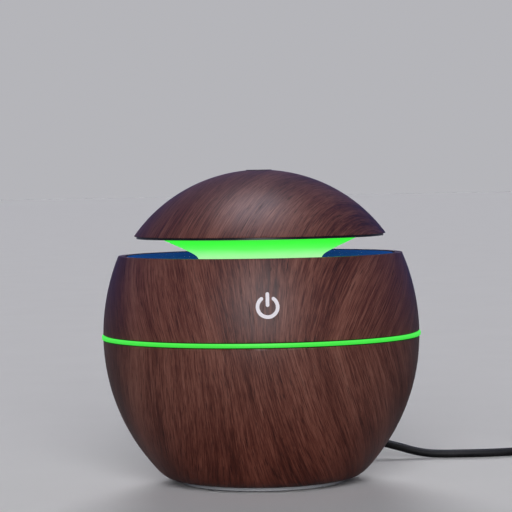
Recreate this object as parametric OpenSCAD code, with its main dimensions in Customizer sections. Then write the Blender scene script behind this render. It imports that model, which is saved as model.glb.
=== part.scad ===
// Globe-shaped cool mist humidifier with a lift-off mushroom lid and a USB lead.
// Millimetres, +Z up. Origin on the globe's axis at table height, front towards -Y.

/* [Globe] */
// Width of the globe at its waist
body_d = 100; // [98:1:104]
// Height of the waist above the table
waist_z = 46.8; // [46.8:0.1:48]
// Height of the open rim
rim_z = 72.3; // [72:0.1:73]
// Radius of the bowl's side curve in section
side_r = 62; // [60:1:64]
// Radius of the upper shell's side curve
upper_r = 66; // [65:1:67]
// Thickness of both shells
wall = 2; // [1.8:0.1:2.4]

/* [Lid] */
// Radius of the domed cap
cap_r = 49; // [48:0.5:50]
// Height of the crown above the table
crown_z = 98.9; // [98.5:0.1:99.5]
// Height of the cap's lower edge
cap_edge_z = 78.4; // [78:0.1:79]
// Width of the mist outlet
outlet_d = 7; // [6.5:0.5:8]
// Width of the funnel's neck
neck_d = 38.8; // [38:0.2:40]
// Width of the dish around the neck
dish_d = 84.8; // [84:0.1:84.8]

/* [Tank] */
// Inner width of the water tank
tank_d = 72; // [71:0.5:72.5]
// Height of the tank's floor above the table
tank_floor_z = 26; // [25.5:0.5:27]

/* [Light] */
// Height of the light ring at the waist
ring_h = 1.25; // [1:0.05:1.5]
// How far the light ring stands proud
ring_proud = 0.4; // [0.2:0.1:0.6]

/* [Lead] */
// Thickness of the lead
cord_d = 2.8; // [2.6:0.1:2.8]
// Width of the coil at the middle of its turns
coil_mid_d = 32; // [32:1:34]

/* [Hidden] */
$fn = 96;
eps = 0.01;

wood = "#5a3a33";
dark = "#1d1a1c";
pale = "#dfe2e3";
milky = "#e8f2ea";
glow = "#4dff57";
black = "#17171a";
steel = "#b9bcc0";
copper = "#b8733c";
board_green = "#1f6b3d";
rubber = "#2b2b2e";

ring_low = waist_z - ring_h / 2;
ring_high = waist_z + ring_h / 2;
shadow_gap = 0.3;
ledge_top = rim_z - 3.2;
ledge_low = ledge_top - 1.7;
gasket_low = ledge_low - 1;
flange_low = gasket_low - 1.6;
tank_r = tank_d / 2;
tank_wall = 1.6;
tank_low = tank_floor_z - tank_wall;
tank_screw_r = 41.2;
seal_h = 2.5;
seal_low = tank_low - seal_h;
clamp_low = seal_low - 1.7;
clamp_screw_x = 15.5;

dish_r = dish_d / 2;
neck_r = neck_d / 2;
funnel_wall = 1.5;
funnel_floor_z = 64.6;
funnel_floor_h = 1.6;
funnel_top_r = 31.8;
cap_centre_z = crown_z - cap_r;
cap_edge_r = sqrt(pow(cap_r, 2) - pow(cap_edge_z - cap_centre_z, 2));
cap_plate_low = cap_edge_z - 0.7;
tube_in_r = 5;
tube_out_r = 6;
tube_low = 53;
tube_top = crown_z - 3.6;
dish_screw_r = 22.4;
funnel_screw_r = 24.5;

base_r = 25.6;
base_rim_low = 0.4;
bowl_low = 1.65;
base_low = 1.2;
base_top = 2.6;
foot_r = 2.7;
base_screw_r = 22.2;
pilot_r = 0.8;
shank_r = 0.78;

fan_y = -11;
fan_size = 25;
fan_low = base_top;
fan_h = 7;
fan_bore_r = 11.6;
board_low = 10;
board_top = 11.6;
board_screw_x = 9.5;
board_screw_y = [7.5, 21.5];
connector_x = [-5.8, 1.8, 5.4];
port_z = 13;
port_y = 36.6;

led_board_low = 43;
led_board_h = 1.2;
duct_low = fan_low + fan_h;
duct_x = -38.1;
duct_out_x = -43.3;

coil_at = [116, 71.6];
coil_columns = 2;
coil_layers = 4;
coil_mid_r = coil_mid_d / 2;
coil_in_r = coil_mid_r - coil_columns * cord_d / 2;
coil_out_r = coil_mid_r + coil_columns * cord_d / 2;
coil_h = coil_layers * cord_d;

// Route of the lead from its strain relief to the coil
lead_route = [
  [0, 62, 13], [0, 66, 13], [0.8, 69.8, 12.9], [3.2, 72.9, 12.8], [6.7, 74.7, 12.5], [10.6, 74.9, 12.1],
  [14.2, 73.4, 11.7], [20, 69.3, 10.7], [26, 65.1, 9.5], [32, 61, 8.1], [37, 57.6, 6.8], [41, 55.1, 5.7],
  [45, 53.1, 4.6], [49.5, 51.5, 3.5], [54, 50.4, 2.3], [58.5, 49.5, 1.6], [63, 48.8, 1.4], [68, 48.4, 1.4],
  [73, 48.3, 1.4], [78, 48.6, 1.4], [83, 49.4, 1.4], [88, 50.6, 1.4], [94, 52.1, 1.4], [100, 53.3, 1.4],
  [105.5, 54, 1.4], [111, 54.2, 1.4], [116, 54.2, 1.4]
];
// Route of the lead from the coil to the large plug
tail_route = [
  [116, 54.2, 9.8], [122, 54.1, 9.6], [128, 52.8, 8.4], [133, 50, 6.4], [137, 46, 4.2],
  [139.6, 41.2, 2.5], [140.5, 36.2, 2], [140.5, 31.8, 3], [140.5, 27.8, 4], [140.5, 24.8, 4]
];
plug_at = [140.5, 15.8, 4];

function rim_at(z) = body_d / 2 - upper_r + sqrt(pow(upper_r, 2) - pow(z - waist_z, 2));
function unit(v) = v / norm(v);
function tangent(p, i) = unit(p[min(i + 1, len(p) - 1)] - p[max(i - 1, 0)]);
function ring_points(p, i, r, sides, up) =
  let (t = tangent(p, i), u = unit(cross(up, t)), v = cross(t, u))
  [for (k = [0:sides - 1]) p[i] + r * (cos(360 * k / sides) * u + sin(360 * k / sides) * v)];

// Tube of one polyhedron swept along points, its ends square to the route
module tube(p, d, sides = 8, up = [0, 0, 1]) {
  rings = len(p);
  points = [for (i = [0:rings - 1]) each ring_points(p, i, d / 2, sides, up)];
  walls = [for (i = [0:rings - 2], k = [0:sides - 1])
    let (a = i * sides + k, b = i * sides + (k + 1) % sides)
    each [[a, a + sides, b + sides], [a, b + sides, b]]];
  ends = [[for (k = [0:sides - 1]) k], [for (k = [sides - 1:-1:0]) (rings - 1) * sides + k]];
  polyhedron(points, concat(walls, ends), convexity = 8);
}

// Section of the globe, its side curve of radius r moved inwards by inset
module side_section(inset = 0, r = side_r) {
  translate([body_d / 2 - r, waist_z]) circle(r = r - inset);
}

module band(low, high) {
  translate([0, low]) square([body_d, high - low]);
}

// Section of a cup with a rounded foot
module cup_section(r, low, high, round_r) {
  translate([0, low + round_r]) square([r, high - low - round_r]);
  translate([0, low]) square([r - round_r, high - low]);
  translate([r - round_r, low + round_r]) circle(r = round_r);
}

module ring(r_in, r_out, low, high) {
  rotate_extrude() translate([r_in, low]) square([r_out - r_in, high - low]);
}

module bore(r, low, high) {
  translate([0, 0, low]) cylinder(r = r, h = high - low);
}

module box(low, high) {
  translate(low) cube(high - low);
}

module around(count, r, first = 0) {
  for (i = [0:count - 1]) rotate(first + 360 * i / count) translate([r, 0, 0]) children();
}

// Cross-headed screw pointing up, its head's top at z = 0
module screw(shank_h, head_r = 1.8, head_h = 1.1) {
  difference() {
    union() {
      translate([0, 0, -head_h]) cylinder(r = head_r, h = head_h);
      cylinder(r = shank_r, h = shank_h);
    }
    for (turn = [0, 90]) rotate(turn)
      translate([-head_r * 0.6, -0.2, -head_h - eps]) cube([head_r * 1.2, 0.4, 0.55]);
  }
}

module round_box(size, round_r) {
  translate([-size[0] / 2 + round_r, -size[1] / 2, 0]) cube([size[0] - 2 * round_r, size[1], size[2]]);
  translate([-size[0] / 2, -size[1] / 2 + round_r, 0]) cube([size[0], size[1] - 2 * round_r, size[2]]);
  for (x = [-1, 1], y = [-1, 1])
    translate([x * (size[0] / 2 - round_r), y * (size[1] / 2 - round_r), 0])
      cylinder(r = round_r, h = size[2], $fn = 32);
}

// ---- Lid ----

module cap_shell() color(wood) rotate_extrude() intersection() {
  difference() {
    translate([0, cap_centre_z]) circle(r = cap_r);
    translate([0, cap_centre_z]) circle(r = cap_r - wall);
  }
  translate([outlet_d / 2 + 0.6, cap_edge_z]) square([body_d, body_d]);
}

module cap_base() color(dark) difference() {
  union() {
    ring(tube_out_r + 0.1, cap_edge_r - 0.8, cap_plate_low, cap_edge_z);
    ring(tube_out_r + 0.1, sqrt(pow(cap_r - wall, 2) - pow(cap_edge_z + 1 - cap_centre_z, 2)) - 0.05,
      cap_edge_z - eps, cap_edge_z + 1);
  }
  around(3, funnel_screw_r, 90) bore(1.1, cap_plate_low - 1, cap_edge_z + 2);
}

module outlet_bush() color(dark) rotate_extrude() {
  translate([outlet_d / 2, tube_top]) square([0.6, crown_z - tube_top]);
  intersection() {
    translate([outlet_d / 2, tube_top]) square([4.2, 2]);
    translate([0, cap_centre_z]) circle(r = cap_r - wall - 0.02, $fn = 720);
  }
}

// Trumpet of the funnel: a straight flare that turns down into the neck
module funnel_section(inset) {
  polygon([
    [0, funnel_floor_z], [neck_r - inset, funnel_floor_z], [neck_r - inset, 70.4],
    [neck_r + 0.14 - inset, 71.1], [neck_r + 0.6 - inset, 71.8], [neck_r + 1.4 - inset, 72.5],
    [funnel_top_r - inset * 1.2, cap_plate_low], [0, cap_plate_low]
  ]);
}

module light_funnel() color(glow) difference() {
  union() {
    rotate_extrude() difference() {
      funnel_section(0);
      difference() {
        funnel_section(funnel_wall);
        band(0, funnel_floor_z + funnel_floor_h);
        translate([0, cap_plate_low - 1.4]) square([funnel_top_r, 2]);
      }
      translate([0, cap_plate_low - 1.5]) square([20.5, 3]);
    }
    ring(tube_out_r, 25.2, funnel_floor_z, funnel_floor_z + funnel_floor_h);
  }
  bore(tube_out_r, 0, crown_z);
  around(3, funnel_screw_r, 90) bore(pilot_r, cap_plate_low - 3, crown_z);
  around(3, dish_screw_r, 30) bore(1.1, 0, funnel_floor_z + funnel_floor_h + 1);
}

module funnel_screws() color(steel)
  around(3, funnel_screw_r, 90) translate([0, 0, cap_edge_z + 1]) mirror([0, 0, 1]) screw(3);

module mist_tube() color(milky) ring(tube_in_r, tube_out_r, tube_low, tube_top);

module splash_baffle() color(milky) {
  rotate_extrude() polygon([[0, 47.6], [8.5, 48.6], [9, 49.4], [8.5, 49.8], [0, 48.8]]);
  ring(tube_out_r, tube_out_r + 1.2, tube_low + 1, tube_low + 5);
  around(3, 7.9, 30) box([-0.8, -0.9, 49.2], [0.8, 0.9, tube_low + 2]);
  around(3, 6.6, 30) box([0, -0.9, tube_low + 1.4], [2.1, 0.9, tube_low + 4.6]);
}

// The dish slopes gently from the rim to the neck
module dish_section() {
  polygon([
    [neck_r + 0.1, ledge_top - 1.8], [neck_r + 0.1, ledge_top - 0.2], [25, ledge_top + 0.2],
    [31, ledge_top + 0.9], [37, ledge_top + 2], [dish_r - 0.5, rim_z - 0.1], [dish_r, rim_z - 0.4],
    [dish_r, ledge_top + 0.1], [dish_r - 1.8, ledge_top + 0.1], [dish_r - 1.9, ledge_top + 0.9],
    [37, ledge_top + 0.4], [31, ledge_top - 0.8], [25, ledge_top - 1.5]
  ]);
}

module lid_dish() color(dark) difference() {
  union() {
    rotate_extrude() {
      dish_section();
      translate([tank_r - 2.2, 63]) square([1.6, ledge_top - 63]);
    }
    around(3, dish_screw_r, 30) bore(2.3, funnel_floor_z + funnel_floor_h, ledge_top - 1);
  }
  bore(neck_r + 0.1, 0, crown_z);
  around(3, dish_screw_r, 30) bore(pilot_r, 0, ledge_top - 1.2);
  ring(tank_r - 1.2, tank_r + 1, 64.4, 66);
}

module dish_screws() color(steel)
  around(3, dish_screw_r, 30) translate([0, 0, funnel_floor_z]) screw(3);

module lid_seal() color(rubber) ring(tank_r - 1.2, tank_r - 0.08, 64.4, 66);

// ---- Globe ----

module touch_rail() {
  difference() {
    box([4.6, -48.2, 53.2], [7.2, -41.6, 63.8]);
    box([0, -43.5, 52.2], [6.1, -42.3, 64.2]);
  }
}

module upper_shell() color(wood) difference() {
  union() {
    rotate_extrude() {
      intersection() {
        difference() {
          side_section(0, upper_r);
          side_section(wall, upper_r);
          translate([rim_at(rim_z) - 0.7, rim_z - 0.7]) polygon([[0.7, 0], [0, 0.7], [9, 0.7], [9, 0]]);
        }
        band(ring_high + shadow_gap, rim_z);
      }
      intersection() {
        side_section(1, upper_r);
        translate([tank_r + 2.4, ledge_low]) square([20, ledge_top - ledge_low]);
      }
    }
    around(4, tank_screw_r, 45) bore(2.3, gasket_low, ledge_low + eps);
    intersection() {
      union() {
        touch_rail();
        mirror([1, 0, 0]) touch_rail();
      }
      rotate_extrude() intersection() {
        side_section(1, upper_r);
        band(52, 64.4);
      }
    }
  }
  around(4, tank_screw_r, 45) bore(pilot_r, gasket_low - 1, ledge_top - 0.8);
}

// Power symbol: a broken ring and a bar, laid on the shell's front
module power_mark() color("#ece7ea") intersection() {
  rotate_extrude() intersection() {
    difference() {
      side_section(-0.12, upper_r);
      side_section(0, upper_r);
    }
    band(53, 64);
  }
  translate([0, -40, 58.2]) rotate([90, 0, 0]) linear_extrude(20) {
    difference() {
      circle(r = 3.5);
      circle(r = 2.42);
      translate([-1.35, 0]) square([2.7, 5]);
    }
    for (side = [-1, 1]) translate([side * 1.78, 2.38]) circle(r = 0.54, $fn = 32);
    translate([-0.54, 0.54]) square([1.08, 3.24]);
    for (y = [0.54, 3.78]) translate([0, y]) circle(r = 0.54, $fn = 32);
  }
}

module light_ring() color(glow) {
  ring(44.2, body_d / 2 + ring_proud, ring_low, ring_high);
  ring(46.6, body_d / 2 - wall - 0.15, ring_low - 2.6, ring_low + eps);
  ring(46.6, body_d / 2 - wall - 0.15, ring_high - eps, ring_high + 2.6);
}

module lower_shell() color(wood) difference() {
  union() {
    rotate_extrude() difference() {
      union() {
        intersection() {
          difference() {
            side_section(0);
            side_section(wall);
          }
          band(bowl_low, ring_low - shadow_gap);
        }
        intersection() {
          side_section(1);
          translate([base_r + 0.3, bowl_low]) square([10, 4.4 - bowl_low]);
        }
        translate([24.4, base_top + 0.2]) square([3, 1.6]);
        intersection() {
          side_section(1);
          translate([44.6, led_board_low - 1.6]) square([10, 1.6]);
        }
      }
      polygon([[27.9, 0], [27.9, bowl_low], [29.5, 1.98], [30.9, 2.55], [32.1, 3.35], [33.24, 4.4],
        [40, 4.4], [40, 0]]);
    }
    around(4, base_screw_r, 45) bore(3, base_top + 0.2, 9);
    intersection() {
      box([-8, 34.4, 7.4], [8, 44, 18.6]);
      rotate_extrude() intersection() {
        side_section(0.5);
        band(4, 22);
      }
    }
  }
  around(4, base_screw_r, 45) bore(pilot_r, 0, 8);
  bore(base_r + 0.1, 0, base_top + 0.2);
  box([-12.7, fan_y - 12.7, base_top], [12.7, fan_y + 12.7, 6]);
  for (x = [-1, 1], y = board_screw_y) translate([x * board_screw_x, y, 0]) bore(2.4, 0, 6);
  translate([0, port_y, port_z]) rotate([-90, 0, 0]) round_box([12.4, 8.2, 12], 2.4);
  translate([0, 34, port_z]) rotate([-90, 0, 0]) round_box([8.2, 3.4, 4], 0.8);
}

module base_plate() color(pale) {
  difference() {
    union() {
      bore(base_r, base_low, base_top);
      ring(base_r - 2, base_r, base_rim_low, base_low + eps);
    }
    around(4, base_screw_r, 45) {
      bore(foot_r + 0.1, 0, base_low);
      bore(2.1, 0, base_low + 0.8);
      bore(1.1, 0, base_top + 1);
    }
    translate([0, fan_y, 0]) difference() {
      for (r = [3.4, 6.4, 9.4]) ring(r, r + 1.6, 0, base_top + 1);
      for (turn = [45, 135]) rotate(turn) box([-12, -0.8, 0], [12, 0.8, base_top + 2]);
    }
    for (turn = [-50, -25, 0, 25, 50]) rotate(turn) box([-1.8, 20, 0], [1.8, 30, base_low]);
  }
  for (x = [-1, 1], y = board_screw_y) translate([x * board_screw_x, y, 0]) difference() {
    bore(2.1, base_top - eps, board_low);
    bore(pilot_r, base_top + 1, board_low + 1);
  }
}

module base_feet() color(rubber)
  around(4, base_screw_r, 45) rotate_extrude()
    polygon([[0, 0], [foot_r - 0.3, 0], [foot_r, 0.3], [foot_r, base_low], [0, base_low]]);

module base_screws() color(steel)
  around(4, base_screw_r, 45) translate([0, 0, base_low + 0.8]) screw(5.4, 1.9, 0.8);

// ---- Water tank and mist maker ----

module water_tank() color(milky) difference() {
  union() {
    rotate_extrude() difference() {
      union() {
        cup_section(tank_r + tank_wall, tank_low, gasket_low, 7.6);
        translate([tank_r, flange_low]) square([7.4, gasket_low - flange_low]);
        translate([0, seal_low]) square([12, 4]);
      }
      cup_section(tank_r, tank_floor_z, rim_z, 6);
    }
    for (x = [-1, 1]) translate([x * clamp_screw_x, 0, 0]) bore(2.8, seal_low, tank_floor_z - 0.5);
  }
  bore(6.5, 0, tank_floor_z + 1);
  bore(10.2, 0, tank_low);
  for (x = [-1, 1]) translate([x * clamp_screw_x, 0, 0]) bore(pilot_r, 0, tank_low + 0.4);
  around(4, tank_screw_r, 45) bore(1.1, 0, rim_z);
  box([-42, -4, 57.5], [-34, 4, 61.5]);
}

module tank_gasket() color(rubber) ring(tank_r + 0.4, tank_screw_r - 2.4, gasket_low, ledge_low);

module tank_screws() color(steel)
  around(4, tank_screw_r, 45) translate([0, 0, flange_low]) screw(3.4);

module piezo_seal() color("#d8d8d2") rotate_extrude() difference() {
  translate([6.5, seal_low]) square([3.65, seal_h]);
  translate([0, seal_low + 0.9]) square([8.2, 0.7]);
}

module piezo_disc() color(steel) {
  bore(8.15, seal_low + 1.1, seal_low + 1.5);
  bore(5, seal_low + 0.9, seal_low + 1.1 + eps);
}

module piezo_clamp() color(pale) difference() {
  union() {
    bore(12, clamp_low, seal_low);
    for (x = [-1, 1]) translate([x * clamp_screw_x, 0, 0]) bore(2.8, clamp_low, seal_low);
    box([-clamp_screw_x, -2.2, clamp_low], [clamp_screw_x, 2.2, seal_low]);
  }
  bore(6.2, 0, seal_low + 1);
  for (x = [-1, 1]) translate([x * clamp_screw_x, 0, 0]) bore(1.1, 0, seal_low + 1);
}

module clamp_screws() color(steel)
  for (x = [-1, 1]) translate([x * clamp_screw_x, 0, clamp_low]) screw(4);

// ---- Electronics ----

module main_board() color(board_green) difference() {
  union() {
    box([-12, 4.5, board_low], [12, 28, board_top]);
    box([-7.4, 28 - eps, board_low], [7.4, 34.2, board_top]);
  }
  for (x = [-1, 1], y = board_screw_y) translate([x * board_screw_x, y, 0]) bore(1.1, 0, 20);
}

module board_screws() color(steel)
  for (x = [-1, 1], y = board_screw_y)
    translate([x * board_screw_x, y, board_top]) mirror([0, 0, 1]) screw(6);

module coil_core() color("#35353a") translate([5.5, 14.5, board_top]) {
  cylinder(r = 4, h = 1);
  cylinder(r = 1.9, h = 7);
  translate([0, 0, 6]) cylinder(r = 4, h = 1);
}

module coil_winding() color(copper) translate([5.5, 14.5, board_top]) rotate_extrude()
  difference() {
    translate([1.95, 1.05]) square([1.7, 4.9]);
    for (i = [0:6]) translate([4, 1.4 + 0.7 * i]) circle(r = 0.42, $fn = 16);
  }

module filter_capacitors() color("#2d3a5c")
  for (at = [[-2.5, 11.6], [-8.5, 14.5]]) translate([at[0], at[1], board_top]) rotate_extrude()
    polygon([[0, 0], [2.5, 0], [2.5, 0.7], [2.3, 0.9], [2.3, 1.2], [2.5, 1.4], [2.5, 5.8], [2.3, 6], [0, 6]]);

module power_transistor() color(dark) {
  box([0.3, 22.6, board_top + 0.2], [6.7, 26.6, board_top + 2.4]);
  box([0.9, 26.5, board_top], [6.1, 27.6, board_top + 0.6]);
  for (x = [1.4, 5]) box([x, 21.4, board_top], [x + 0.7, 22.7, board_top + 0.6]);
}

module control_chip() color(black) {
  box([-5.9, 17.6, board_top + 0.15], [-1.1, 21.4, board_top + 1.6]);
  for (i = [0:3], y = [16.8, 21.3])
    box([-5.5 + 1.27 * i, y, board_top], [-5.1 + 1.27 * i, y + 0.9, board_top + 0.5]);
}

module lead_connectors() color("#e9e4d6")
  for (x = connector_x) difference() {
    box([x - 1.25, 5.4, board_top], [x + 1.25, 8.4, board_top + 2.8]);
    box([x - 0.65, 6.4, board_top + 1.8], [x + 0.65, 9, board_top + 3]);
  }

module usb_socket() color(steel) {
  difference() {
    box([-3.8, 30.8, board_top], [3.8, 36.4, board_top + 2.8]);
    translate([0, 31.4, port_z]) rotate([-90, 0, 0]) round_box([7.1, 2.1, 6], 0.5);
  }
  box([-1.8, 31.3, port_z - 0.25], [1.8, 35.6, port_z + 0.25]);
}

module led_board() color(board_green) difference() {
  ring(39.4, 45.8, led_board_low, led_board_low + led_board_h);
  box([-50, -9, 0], [-30, 9, 60]);
}

module leds() color("#f2f4dc")
  around(10, 42.6, 198) {
    box([-1, -1.6, led_board_low + led_board_h], [1, 1.6, led_board_low + led_board_h + 1.1]);
    box([0.9, -1, led_board_low + led_board_h + 0.15], [1.3, 1, led_board_low + led_board_h + 0.95]);
  }

module touch_board() color(board_green) difference() {
  box([-6, -43.4, 53.2], [6, -42.4, 63.8]);
  for (x = [-1, 1]) translate([x * 4, -44, 62.6]) rotate([-90, 0, 0]) cylinder(r = 0.6, h = 3, $fn = 24);
}

touch_wire = [for (i = [0:48]) let (a = 22.5 * i)
  [(2.6 - 0.02 * i) * cos(a), -43.75 - 2.4 * i / 48, 58.2 + (2.6 - 0.02 * i) * sin(a)]];

module touch_spring() color(steel) tube(touch_wire, 0.5, 6, [0, 1, 0]);

// ---- Fan and air duct ----

module fan_frame() color(black) translate([0, fan_y, fan_low]) {
  difference() {
    round_box([fan_size, fan_size, fan_h], 3);
    bore(fan_bore_r, -1, fan_h + 1);
    for (x = [-1, 1], y = [-1, 1]) translate([x * 10, y * 10, 0]) bore(1.4, -1, fan_h + 1);
  }
  difference() {
    union() {
      bore(4.2, 0, 1);
      bore(1.9, 0, 4.6);
      for (turn = [0, 120, 240]) rotate(turn) box([3.5, -0.9, 0], [fan_bore_r + 0.4, 0.9, 1]);
    }
    bore(0.85, 0.4, 6);
  }
}

module fan_rotor() color("#2c2d33") translate([0, fan_y, fan_low]) {
  difference() {
    bore(5.2, 1.6, 6.6);
    bore(4.5, 1, 5.6);
  }
  bore(0.8, 0.8, 5.8);
  intersection() {
    around(7, 8) rotate([38, 0, 0]) box([-3, -0.35, -3.6], [3.2, 0.35, 3.6]);
    ring(4.9, 11.1, 1.5, 6.5);
  }
}

// Way of the air: a plenum over the fan, a rising run to the left, then a riser beside the tank
module duct_way(inset) {
  translate([0, fan_y, 0])
    box([-12 + inset, -12 + inset, duct_low - inset * 2], [12 - inset, 12 - inset, duct_low + 4 - inset]);
  hull() {
    box([-12 + inset, -6 + inset, duct_low - inset], [-10, 1 - inset, duct_low + 4 - inset]);
    box([-34 + inset, -6 + inset, 14.6 + inset], [-32, 6 - inset, 20.6 - inset]);
  }
  hull() {
    box([-34 + inset, -6 + inset, 14.6 + inset], [-32, 6 - inset, 20.6 - inset]);
    box([duct_out_x + inset, -6 + inset, 28], [duct_x - inset, 6 - inset, 29]);
  }
  box([duct_out_x + inset, -6 + inset, 28.5], [duct_x - inset, 6 - inset, 63 - inset]);
}

module air_duct() color(pale) difference() {
  union() {
    duct_way(0);
    box([duct_x - 1, -3.9, 57.6], [-36.4, 3.9, 61.4]);
  }
  duct_way(1);
  box([duct_x - 2, -3, 58.5], [-36, 3, 60.5]);
}

// ---- Leads inside the globe ----

// Two wires side by side along one route, the gap square to aside
module pair(route, aside, gap = 0.56) {
  for (side = [-1, 1])
    tube([for (i = [0:len(route) - 1]) route[i] + side * gap * unit(cross(tangent(route, i), aside))],
      0.9, 6, aside);
}

module piezo_leads() color("#c23b32")
  pair([[-3, 0, 22.7], [-3, 0, 21], [-3, 0.3, 19], [-3.4, 1, 17.4], [-4.2, 1.8, 16], [-5, 2.4, 14.8],
    [-5.6, 3, 13.6], [-5.8, 4, 13], [-5.8, 5.3, 13]], [1, 0, 0.2]);

module fan_leads() color("#c23b32")
  pair([[12.6, -4, 5], [14, -3.9, 5], [15.2, -3, 5.6], [15.6, -1, 7.4], [14.6, 0.8, 10], [12, 2.2, 12],
    [9, 2.6, 12.8], [6.8, 3, 13], [5.4, 4.1, 13], [5.4, 5.3, 13]], [0.5, -0.5, 0.7]);

module led_leads() color("#e3e3e0")
  pair([[42, 6, 42.9], [42, 6, 40], [41.4, 6, 34], [40.2, 6, 27], [38.2, 6, 21.6], [34, 5.6, 18],
    [27, 4.6, 16.4], [19, 3.6, 15.6], [11, 3, 15.2], [6, 2.6, 15], [3.2, 2.7, 14.2], [1.9, 3.6, 13.2],
    [1.8, 5.3, 13.2]], [0.1, 1, 0.3]);

module touch_leads() color("#e3e3e0")
  pair([[3, -42.9, 53.1], [3, -42.9, 51], [3, -42.6, 48.4], [3, -42.3, 46.4], [3, -42.3, 44.25]],
    [0, 1, 0]);

// ---- USB lead ----

module micro_plug_tip() color(steel) translate([0, 31.8, port_z]) rotate([-90, 0, 0]) difference() {
  round_box([6.8, 1.8, 5.4], 0.4);
  translate([0, 0, -1]) round_box([5.8, 1, 5.4], 0.3);
}

module micro_plug_body() color(black) translate([0, 37.2, port_z]) rotate([-90, 0, 0]) difference() {
  round_box([10.6, 6.6, 15.8], 2.2);
  for (y = [-1, 1], i = [0:3]) translate([-2.6, y * 3.3 - 0.2, 5 + 2 * i]) cube([5.2, 0.4, 0.8]);
}

// Tapered relief with cut rings, from z = 0 upwards
module relief(low_r, high_r, length, cuts) {
  difference() {
    cylinder(r1 = low_r, r2 = high_r, h = length);
    for (i = [0:cuts - 1]) translate([0, 0, length * (i + 0.6) / (cuts + 0.4)])
      ring(high_r, low_r + 1, 0, length * 0.28 / cuts);
  }
}

module micro_strain_relief() color(black)
  translate([0, 53, port_z]) rotate([-90, 0, 0]) relief(2.5, 1.6, 9, 4);

module cord_lead() color(black) tube(lead_route, cord_d);

module cord_coil() color(black) translate([coil_at[0], coil_at[1], 0]) rotate_extrude()
  translate([coil_in_r, 0]) difference() {
    square([coil_out_r - coil_in_r, coil_h]);
    for (x = [0, 1], y = [0, 1]) translate([x * (coil_out_r - coil_in_r), y * coil_h])
      rotate(45) square(1.4, center = true);
  }

module cord_tie() color("#3a3a3e")
  translate([coil_at[0], coil_at[1], 0]) rotate(60) translate([coil_mid_r, 0, 0]) difference() {
    box([-3.8, -2.5, 0], [3.8, 2.5, coil_h + 1]);
    box([-3.1, -3, -1], [2.85, 3, coil_h + 0.05]);
  }

module cord_tail() color(black) tube(tail_route, cord_d);

module usb_a_strain_relief() color(black)
  translate([plug_at[0], plug_at[1], plug_at[2]]) rotate([-90, 0, 0]) relief(3, 1.6, 9, 4);

module usb_a_body() color(black)
  translate([plug_at[0], plug_at[1], plug_at[2]]) rotate([90, 0, 0]) round_box([15.6, 8, 25], 2);

module usb_a_shell() color(steel)
  translate([plug_at[0], plug_at[1] - 25, plug_at[2]]) rotate([90, 0, 0]) difference() {
    round_box([12, 4.5, 12], 0.4);
    translate([0, 0, 0.4]) round_box([11.4, 3.9, 12], 0.3);
    for (x = [-1, 1]) translate([x * 2.6 - 1.1, -3, 5]) cube([2.2, 6, 2.2]);
  }

module usb_a_tongue() color("#e8e8ea")
  translate([plug_at[0], plug_at[1] - 25.4, plug_at[2]])
    box([-5.6, -11, -1.9], [5.6, -0.05, 0]);

cap_shell();
cap_base();
outlet_bush();
light_funnel();
funnel_screws();
mist_tube();
splash_baffle();
lid_dish();
dish_screws();
lid_seal();
upper_shell();
power_mark();
light_ring();
lower_shell();
base_plate();
base_feet();
base_screws();
water_tank();
tank_gasket();
tank_screws();
piezo_seal();
piezo_disc();
piezo_clamp();
clamp_screws();
main_board();
board_screws();
coil_core();
coil_winding();
filter_capacitors();
power_transistor();
control_chip();
lead_connectors();
usb_socket();
led_board();
leds();
touch_board();
touch_spring();
fan_frame();
fan_rotor();
air_duct();
piezo_leads();
fan_leads();
led_leads();
touch_leads();
micro_plug_tip();
micro_plug_body();
micro_strain_relief();
cord_lead();
cord_coil();
cord_tie();
cord_tail();
usb_a_strain_relief();
usb_a_body();
usb_a_shell();
usb_a_tongue();
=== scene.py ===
# %% [markdown]
# # A globe-shaped cool mist humidifier
# The real one is a plastic bowl and shell printed with dark wood grain, a lit green ring at the waist,
# and a mushroom lid on a lit trumpet. The engineering model gives every size and every joint, so this
# notebook loads it as a fixed frame and only makes the surfaces and finishes that are seen.

# %% Load the frame
import math

import bpy
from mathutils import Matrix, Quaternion, Vector


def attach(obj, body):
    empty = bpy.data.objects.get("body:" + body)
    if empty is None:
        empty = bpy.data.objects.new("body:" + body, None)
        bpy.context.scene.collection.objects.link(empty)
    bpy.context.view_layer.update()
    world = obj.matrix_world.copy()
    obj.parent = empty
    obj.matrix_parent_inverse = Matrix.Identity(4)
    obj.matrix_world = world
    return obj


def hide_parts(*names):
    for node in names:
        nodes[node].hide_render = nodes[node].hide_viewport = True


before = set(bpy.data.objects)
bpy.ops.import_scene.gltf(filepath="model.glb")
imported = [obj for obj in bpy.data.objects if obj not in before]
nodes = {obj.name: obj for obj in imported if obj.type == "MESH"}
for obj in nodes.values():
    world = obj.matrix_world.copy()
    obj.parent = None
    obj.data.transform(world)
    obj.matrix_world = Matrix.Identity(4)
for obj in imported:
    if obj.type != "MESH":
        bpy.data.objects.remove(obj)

MM = 0.001
WHOLE_TURN = math.tau
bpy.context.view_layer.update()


# %% [markdown]
# ## The camera
# A long lens at the height of the crown shows the globe with little perspective, as in a product picture.
# It stands a little to the left, so the power symbol shows right of the middle, and it is tipped by
# about a degree.

# %% Camera
CAMERA_DISTANCE, CAMERA_HEIGHT, CAMERA_SIDE = 0.7, 0.0959, math.radians(2.2)
LENS, TIP = 155.5, math.radians(0.92)
look_at = Vector((-0.0013, 0, 0.0716))


def facing(place, target):
    """The turn that points a camera or lamp at place towards target."""
    return (Vector(target) - Vector(place)).to_track_quat("-Z", "Y")


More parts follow.
